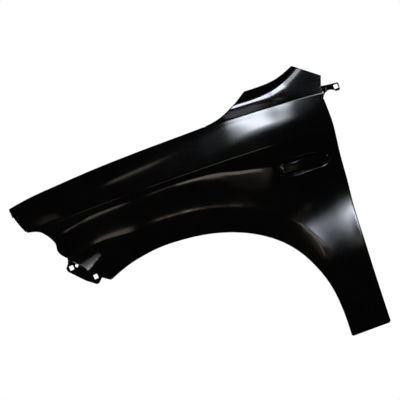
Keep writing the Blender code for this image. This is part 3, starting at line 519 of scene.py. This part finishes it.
def fold(name, P, N, T, bends):
    """Rows of points of the folded edge `name`, from the border points P outward over the bend and along the flange."""
    v = np.cross(N, T)
    v /= np.linalg.norm(v, axis=1)[:, None]
    rows, here = [], P.copy()

    def bend(target, radius, n):
        nonlocal here, v
        for k in range(n):
            mid, th = turn_towards(v, target, (k + 0.5) / n)
            here = here + mid * radius * th / n
            rows.append(here.copy())
        v = np.broadcast_to(target, v.shape).copy()

    inb = np.array([0.0, 1.0, 0.0])
    s = np.linspace(0, 1, len(P))[:, None]
    ends = smooth(s / 0.05) * smooth((1 - s) / 0.05)
    if name == "hood":
        wall = np.array([0, 0.30, -0.954])
        bend(wall, BEND, bends + 1)
        seat = pchip(HOOD_SEAT_U, HOOD_SEAT_W, P[:, 0])
        drop = (here[:, 2] - BEND - seat) / 0.954
        here = here + wall * drop[:, None]
        rows.append(here.copy())
        bend(inb, BEND, bends)
        for r in rows[-1:]:
            r[:, 2] = seat
        here = rows[-1] + inb * (20.0 - 4.0 * (1 - ends))
        rows.append(here.copy())
    elif name == "sill":
        bend(inb, BEND, bends)
        rows[-1][:, 2] = P[:, 2] - BEND
        here = rows[-1] + inb * 24.0
        rows.append(here.copy())
    else:
        width = {"hood_rear": 11.0, "door": 12.0, "arch": 18.0, "lamp": 12.0, "nose": 12.0}[name]
        bend(inb, BEND, bends)
        here = here + inb * (width - 0.3 * width * (1 - ends))
        rows.append(here.copy())
    return rows, v


def build_sheet(edge, feature, grid, detail, bends):
    """The pressed sheet's outer face as a mesh, and a frame along each folded edge."""
    pts, lines, n0, runs = sheet_points(edge, feature, grid, detail)
    got = delaunay_2d_cdt([Vector(p) for p in pts], lines, [list(range(n0))], 1, 1e-5)
    V = np.array([tuple(p) for p in got[0]])
    where = {}
    for k, olds in enumerate(got[3]):
        for o in olds:
            where[o] = k
    O = outward(V[:, 0], V[:, 1])
    bm = bmesh.new()
    verts = [bm.verts.new((u, -o, w)) for (u, w), o in zip(V, O)]
    cent = np.array([V[list(f)].mean(0) for f in got[2]])
    border = np.array(pts[:n0])
    good = inside(cent[:, 0], cent[:, 1], border)
    for f, ok in zip(got[2], good):
        if ok:
            bm.faces.new([verts[k] for k in f])
    frames = {}
    for name, a, b in runs:
        if name not in FOLDED:
            continue
        idx = [where[k] for k in range(a, b)]
        P = np.array([tuple(verts[k].co) for k in idx])
        N = normals(V[idx, 0], V[idx, 1])
        T = np.gradient(P, axis=0)
        T /= np.linalg.norm(T, axis=1)[:, None]
        rows, v = fold(name, P, N, T, bends)
        last = [verts[k] for k in idx]
        for R in rows:
            new = [bm.verts.new(tuple(p)) for p in R]
            for i in range(len(new) - 1):
                bm.faces.new((last[i], last[i + 1], new[i + 1], new[i]))
            last = new
        frames[name] = (rows[-2], rows[-1], np.cross(N, T), T)
    loose = [x for x in bm.verts if not x.link_faces]
    bmesh.ops.delete(bm, geom=loose, context="VERTS")
    bm.normal_update()
    return bm, frames


# ------------------------------------------------------------------ holes
def prism(bm, shape, centre, axis, across, depth):
    """Adds a closed prism: `shape` is a 2-D outline, laid round `axis` with its first direction along `across`."""
    axis = Vector(axis).normalized()
    x = Vector(across)
    x = (x - axis * x.dot(axis)).normalized()
    y = axis.cross(x)
    c = Vector(centre)
    a = [bm.verts.new(c + x * p[0] + y * p[1] - axis * depth / 2) for p in shape]
    b = [bm.verts.new(c + x * p[0] + y * p[1] + axis * depth / 2) for p in shape]
    n = len(shape)
    bm.faces.new(a[::-1])
    bm.faces.new(b)
    for i in range(n):
        bm.faces.new((a[i], a[(i + 1) % n], b[(i + 1) % n], b[i]))


def slot(length, width, sides):
    """Round-ended slot, or a circle where length equals width."""
    r, s = width / 2, (length - width) / 2
    k = sides // 2
    right = [(s + r * math.cos(t), r * math.sin(t)) for t in (math.pi * (i / k - 0.5) for i in range(k + 1))]
    if s < 1e-6:
        right = right[:-1]
        return right + [(-x, -y) for x, y in right]
    return right + [(-x, -y) for x, y in right]


def square(side, radius, n):
    """Square with rounded corners."""
    h, out = side / 2 - radius, []
    for q, (cx, cy) in enumerate([(h, h), (-h, h), (-h, -h), (h, -h)]):
        for i in range(n + 1):
            t = math.pi / 2 * (q + i / n)
            out.append((cx + radius * math.cos(t), cy + radius * math.sin(t)))
    return out


def hole_cutters(frames, sides, n):
    """All holes punched in the panel, as closed prisms in one mesh."""
    bm = bmesh.new()

    def at(name, share):
        a, b, v, t = frames[name]
        k = share * (len(a) - 1)
        i = min(int(k), len(a) - 2)
        f = k - i
        mid = 0.5 * (a + b)
        return mid[i] * (1 - f) + mid[i + 1] * f, v[i], t[i]

    for u, long in HOOD_SLOTS:                                   # hood rail flange, bolted to the apron
        a, b, _, _ = frames["hood"]
        y = np.interp(u, a[:, 0], 0.5 * (a + b)[:, 1])
        prism(bm, slot(long, 8.5, sides), (u, y + 0.5, float(pchip(HOOD_SEAT_U, HOOD_SEAT_W, u))), (0, 0, 1), (1, 0, 0), 8)
    for share in (0.07, 0.25, 0.42, 0.6, 0.77, 0.93):            # arch lip, for the liner's clips
        c, v, t = at("arch", share)
        prism(bm, slot(7.5, 7.5, sides), c, v, t, 8)
    for share, long in ((0.30, 16.0), (0.74, 9.5)):              # sill flange, bolted from below
        c, v, t = at("sill", share)
        prism(bm, slot(long, 9.5, sides), (c[0], c[1] + 1, c[2]), (0, 0, 1), (1, 0, 0), 8)
    for share in (0.13, 0.5):                                    # door edge flange
        c, v, t = at("door", share)
        prism(bm, slot(6.5, 6.5, sides), c, v, t, 8)
    for share in (0.3, 0.72):                                    # headlamp edge flange
        c, v, t = at("lamp", share)
        prism(bm, slot(5.5, 5.5, sides), c, v, t, 8)
    tab = Vector((TAB_PLANE[2], 1, 0)).normalized()              # bumper tab, three square nut holes
    for u, w, side, deg in TAB_HOLES:
        y = -(TAB_PLANE[1] + TAB_PLANE[2] * (u - TAB_PLANE[0]))
        a = math.radians(deg)
        prism(bm, square(side, 1.8, n), (u, y, w), tab, (math.cos(a), 0, math.sin(a)), 16)
    u, w, side, deg = REAR_HOLE
    a = math.radians(deg)
    prism(bm, square(side, 1.8, n), (u, -REAR_TAB_OUT, w), (0, 1, 0), (math.cos(a), 0, math.sin(a)), 10)
    return bm


HOOD_SLOTS = [(-315, 13.0), (22, 13.0), (118, 8.5)]
TAB_HOLES = [(-372.2, 394.0, 13.5, 2.0), (-355.3, 395.2, 9.0, -45.0), (-312.3, 344.5, 13.5, 4.0)]
REAR_HOLE = (561.2, 630.2, 13.0, 3.0)

# ------------------------------------------------------------------ the visual panel
def place(bm, shift):
    bmesh.ops.translate(bm, vec=-Vector(shift), verts=bm.verts)
    bmesh.ops.scale(bm, vec=(0.001, 0.001, 0.001), verts=bm.verts)


def to_object(bm, name):
    me = bpy.data.meshes.new(name)
    bm.to_mesh(me)
    bm.free()
    o = bpy.data.objects.new(name, me)
    bpy.context.scene.collection.objects.link(o)
    return o


def black_primer():
    """Black dip primer, baked on: glossy with a faint orange peel, a little duller in broad patches."""
    m = bpy.data.materials.new("black_primer")
    m.use_nodes = True
    nt = m.node_tree
    p = nt.nodes["Principled BSDF"]
    where = nt.nodes.new("ShaderNodeTexCoord").outputs["Object"]

    def noise(scale, detail, rough=0.5):
        n = nt.nodes.new("ShaderNodeTexNoise")
        nt.links.new(where, n.inputs["Vector"])
        n.inputs["Scale"].default_value = scale
        n.inputs["Detail"].default_value = detail
        n.inputs["Roughness"].default_value = rough
        return n.outputs["Fac"]

    def spread(value, lo, hi, to_lo, to_hi):
        n = nt.nodes.new("ShaderNodeMapRange")
        nt.links.new(value, n.inputs["Value"])
        for k, v in zip(("From Min", "From Max", "To Min", "To Max"), (lo, hi, to_lo, to_hi)):
            n.inputs[k].default_value = v
        return n.outputs["Result"]

    broad, fine = noise(9, 3), noise(160, 2)
    tint = nt.nodes.new("ShaderNodeMix")
    tint.data_type = "RGBA"
    nt.links.new(spread(broad, 0.35, 0.65, 0, 1), tint.inputs["Factor"])
    tint.inputs["A"].default_value = (*PRIMER_DARK, 1)
    tint.inputs["B"].default_value = (*PRIMER_LIGHT, 1)
    nt.links.new(tint.outputs["Result"], p.inputs["Base Color"])
    both = nt.nodes.new("ShaderNodeMath")
    both.operation = "ADD"
    nt.links.new(spread(broad, 0.3, 0.7, GLOSS_LO, GLOSS_HI), both.inputs[0])
    nt.links.new(spread(fine, 0.3, 0.7, -0.012, 0.012), both.inputs[1])
    nt.links.new(both.outputs[0], p.inputs["Roughness"])
    p.inputs["Metallic"].default_value = 0.0
    p.inputs["IOR"].default_value = 1.5
    p.inputs["Specular IOR Level"].default_value = 0.5
    wave = nt.nodes.new("ShaderNodeBump")
    wave.inputs["Strength"].default_value = 1.0
    wave.inputs["Distance"].default_value = 0.00001
    nt.links.new(noise(22, 1), wave.inputs["Height"])
    peel = nt.nodes.new("ShaderNodeBump")
    peel.inputs["Strength"].default_value = 1.0
    peel.inputs["Distance"].default_value = 0.000004
    nt.links.new(noise(420, 2, 0.55), peel.inputs["Height"])
    nt.links.new(wave.outputs["Normal"], peel.inputs["Normal"])
    nt.links.new(peel.outputs["Normal"], p.inputs["Normal"])
    return m


def pale_floor():
    m = bpy.data.materials.new("pale_floor")
    m.use_nodes = True
    nt = m.node_tree
    p = nt.nodes["Principled BSDF"]
    where = nt.nodes.new("ShaderNodeTexCoord").outputs["Object"]
    n = nt.nodes.new("ShaderNodeTexNoise")
    nt.links.new(where, n.inputs["Vector"])
    n.inputs["Scale"].default_value = 3.0
    n.inputs["Detail"].default_value = 4
    tint = nt.nodes.new("ShaderNodeMix")
    tint.data_type = "RGBA"
    nt.links.new(n.outputs["Fac"], tint.inputs["Factor"])
    tint.inputs["A"].default_value = (0.74, 0.74, 0.74, 1)
    tint.inputs["B"].default_value = (0.80, 0.80, 0.79, 1)
    nt.links.new(tint.outputs["Result"], p.inputs["Base Color"])
    p.inputs["Roughness"].default_value = 0.75
    return m


def panel():
    bm, frames = build_sheet(5.0, 5.0, 4.6, 1, 6)
    holes = hole_cutters(frames, 28, 5)
    place(bm, SEAT)
    place(holes, SEAT)
    o, cut = to_object(bm, "fender_skin"), to_object(holes, "punched_holes")
    o.data.materials.append(black_primer())
    thick = o.modifiers.new("sheet", "SOLIDIFY")
    thick.thickness = SHEET / 1000
    thick.offset = -1
    thick.use_even_offset = True
    punch = o.modifiers.new("holes", "BOOLEAN")
    punch.operation = "DIFFERENCE"
    punch.solver = "EXACT"
    punch.object = cut
    o.data.shade_smooth()
    bpy.context.view_layer.update()
    done = bpy.data.meshes.new_from_object(o.evaluated_get(bpy.context.evaluated_depsgraph_get()))
    o.modifiers.clear()
    o.data = done
    bpy.data.objects.remove(cut, do_unlink=True)
    o.data.shade_smooth()
    o.data.set_sharp_from_angle(angle=math.radians(32))
    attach(o, "root")
    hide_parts("fender_panel")
    return o


# ------------------------------------------------------------------ floor, light and camera
TILT = 20.3                          # the picture shows the car's level line rising to the right by this
AIM = Vector((0.0606, -0.0825, -0.1725))
AWAY = 40.0                          # camera distance
VIEW_WIDTH = 1.2                     # seen width at the aim
HUNG_Y = -0.9825                     # plane of the lamps hung in front of the panel


def softbox(name, azimuth, elevation, wide, high, strength, colour, roll=0.0, distance=3.8):
    """Area light seen from the panel in the given direction, with its half width and half height in degrees."""
    a, e = math.radians(azimuth), math.radians(elevation)
    d = Vector((math.sin(a) * math.cos(e), -math.cos(a) * math.cos(e), math.sin(e)))
    light = bpy.data.lights.new(name, "AREA")
    light.shape = "RECTANGLE"
    light.size = 2 * distance * math.tan(math.radians(wide))
    light.size_y = 2 * distance * math.tan(math.radians(high))
    light.color = colour
    light.energy = strength * math.pi * light.size * light.size_y
    o = bpy.data.objects.new(name, light)
    bpy.context.scene.collection.objects.link(o)
    o.visible_camera = False
    o.rotation_mode = "QUATERNION"
    turn = Matrix.Rotation(math.radians(roll), 3, -d) @ (-d).to_track_quat("-Z", "Y").to_matrix()
    o.rotation_quaternion = turn.to_quaternion()
    o.location = AIM + d * distance
    return o


def board(name, centre, facing, wide, high, strength, colour):
    """Flat area light at a place, facing a direction, with its half width and half height in metres."""
    light = bpy.data.lights.new(name, "AREA")
    light.shape = "RECTANGLE"
    light.size, light.size_y = 2 * wide, 2 * high
    light.color = colour
    light.energy = strength * math.pi * light.size * light.size_y
    o = bpy.data.objects.new(name, light)
    bpy.context.scene.collection.objects.link(o)
    o.visible_camera = False
    o.rotation_mode = "QUATERNION"
    o.rotation_quaternion = Vector(facing).to_track_quat("-Z", "Y")
    o.location = centre
    return o


def stage():
    scene = bpy.context.scene
    world = bpy.data.worlds.new("studio")
    scene.world = world
    world.use_nodes = True
    nt = world.node_tree
    nt.nodes.clear()
    out = nt.nodes.new("ShaderNodeOutputWorld")
    mix = nt.nodes.new("ShaderNodeMixShader")
    room = nt.nodes.new("ShaderNodeBackground")
    room.inputs["Color"].default_value = (*ROOM, 1)
    room.inputs["Strength"].default_value = 1.0
    paper = nt.nodes.new("ShaderNodeBackground")
    paper.inputs["Color"].default_value = (1, 1, 1, 1)
    paper.inputs["Strength"].default_value = 1.0
    nt.links.new(nt.nodes.new("ShaderNodeLightPath").outputs["Is Camera Ray"], mix.inputs["Fac"])
    nt.links.new(room.outputs[0], mix.inputs[1])
    nt.links.new(paper.outputs[0], mix.inputs[2])
    nt.links.new(mix.outputs[0], out.inputs["Surface"])
    scene.view_settings.view_transform = "Standard"
    scene.view_settings.look = "None"

    for args in LIGHTS:
        softbox(*args)
    for name, x, z, wide, high, strength, colour in NEAR:
        board(name, (x, HUNG_Y, z), (0, 1, 0), wide, high, strength, colour)
    for args in BEHIND:
        board(*args)

    me = bpy.data.meshes.new("floor")
    me.from_pydata([(-1.6, -2.2, 0), (1.7, -2.2, 0), (1.7, 1.0, 0), (-1.6, 1.0, 0)], [], [(0, 1, 2, 3)])
    floor = bpy.data.objects.new("floor", me)
    scene.collection.objects.link(floor)
    floor.location.z = -1.08
    floor.visible_glossy = False
    me.materials.append(pale_floor())

    data = bpy.data.cameras.new("camera")
    data.sensor_width = 36.0
    data.lens = 36.0 * AWAY / VIEW_WIDTH
    data.clip_start, data.clip_end = 1.0, 100.0
    cam = bpy.data.objects.new("camera", data)
    scene.collection.objects.link(cam)
    c, s = math.cos(math.radians(TILT)), math.sin(math.radians(TILT))
    pose = Matrix(((c, s, 0), (0, 0, -1), (-s, c, 0)))
    cam.rotation_mode = "QUATERNION"
    cam.rotation_quaternion = pose.to_quaternion()
    cam.location = AIM + Vector((0, -AWAY, 0))
    scene.camera = cam


WARM, COOL, WHITE = (1.0, 0.86, 0.70), (0.84, 0.90, 1.0), (1.0, 1.0, 1.0)
ROOM = (0.003, 0.003, 0.002)
PRIMER_DARK, PRIMER_LIGHT = (0.0022, 0.0022, 0.0021), (0.0034, 0.0034, 0.0032)
GLOSS_LO, GLOSS_HI = 0.09, 0.12
# name, azimuth, elevation, half width, half height in degrees, strength, colour, roll
LIGHTS = [
    ("box_core", 6.9, 40.6, 2.7, 9.1, 16, COOL, 0),
    ("box_mid", 7.0, 40.3, 4.3, 9.6, 7, COOL, 0),
    ("box_wide", 6.8, 39.3, 5.5, 10.7, 4, COOL, 0),
    ("box_edge", 6.8, 38.2, 6.8, 11.9, 1.3, COOL, 0),
    ("box_top", 16.0, 74.3, 2.8, 3.6, 1.4, COOL, 0),
    ("box_under_top", 9.5, 66.0, 1.3, 3.8, 1.2, COOL, 0),
    ("box_rear", 20.5, 46.4, 4.6, 1.8, 11, COOL, 0),
    ("high_lamp", -20, 43, 4, 1.5, 1.2, WARM, 0),
]
# lamps hung square to the panel, 0.9 m in front of it: name, x, z, half width, half height in metres, strength, colour
NEAR = [
    ("strip_rear", 0.115, 0.068, 0.215, 0.040, 2.8, WARM),
    ("strip_mid", -0.19, 0.096, 0.09, 0.030, 2.4, WARM),
    ("strip_low", 0.12, 0.0, 0.04, 0.024, 1.4, WARM),
    ("glow_pad", 0.426, 0.018, 0.022, 0.024, 0.24, WARM),
    ("glow_a", 0.333, -0.007, 0.033, 0.033, 0.30, WARM),
    ("glow_b", 0.304, -0.012, 0.048, 0.043, 0.13, WARM),
    ("glow_c", 0.276, -0.022, 0.069, 0.053, 0.09, WARM),
    ("glow_d", 0.240, -0.032, 0.094, 0.063, 0.07, WARM),
    ("strip_front", -0.62, 0.070, 0.18, 0.038, 1.6, WARM),
    ("strip_nose", -0.95, 0.096, 0.15, 0.016, 1.8, WARM),
    ("nose_lamp", -1.17, 0.555, 0.16, 0.022, 0.42, WARM),
    ("corner_a", -0.86, -0.989, 0.36, 0.065, 7.0, WHITE),
    ("corner_b", -0.86, -0.964, 0.36, 0.090, 3.0, WHITE),
    ("corner_c", -0.86, -0.929, 0.36, 0.125, 1.5, WHITE),
    ("corner_d", -0.86, -0.884, 0.36, 0.170, 0.8, WHITE),
]
# lamps behind the panel, which only its back sees: name, place, direction faced, half width, half height, strength, colour
BEHIND = [
    ("back_floor", (0.1, 1.3, -1.05), (0, 0, 1), 1.6, 1.0, 1.6, WHITE),
    ("back_wall", (0.1, 2.6, 0.1), (0, -1, 0), 2.0, 0.8, 1.0, WHITE),
    ("back_strip", (0.1, 1.1, -1.04), (0, 0, 1), 1.4, 0.12, 5.0, WHITE),
]

skin = panel()
stage()
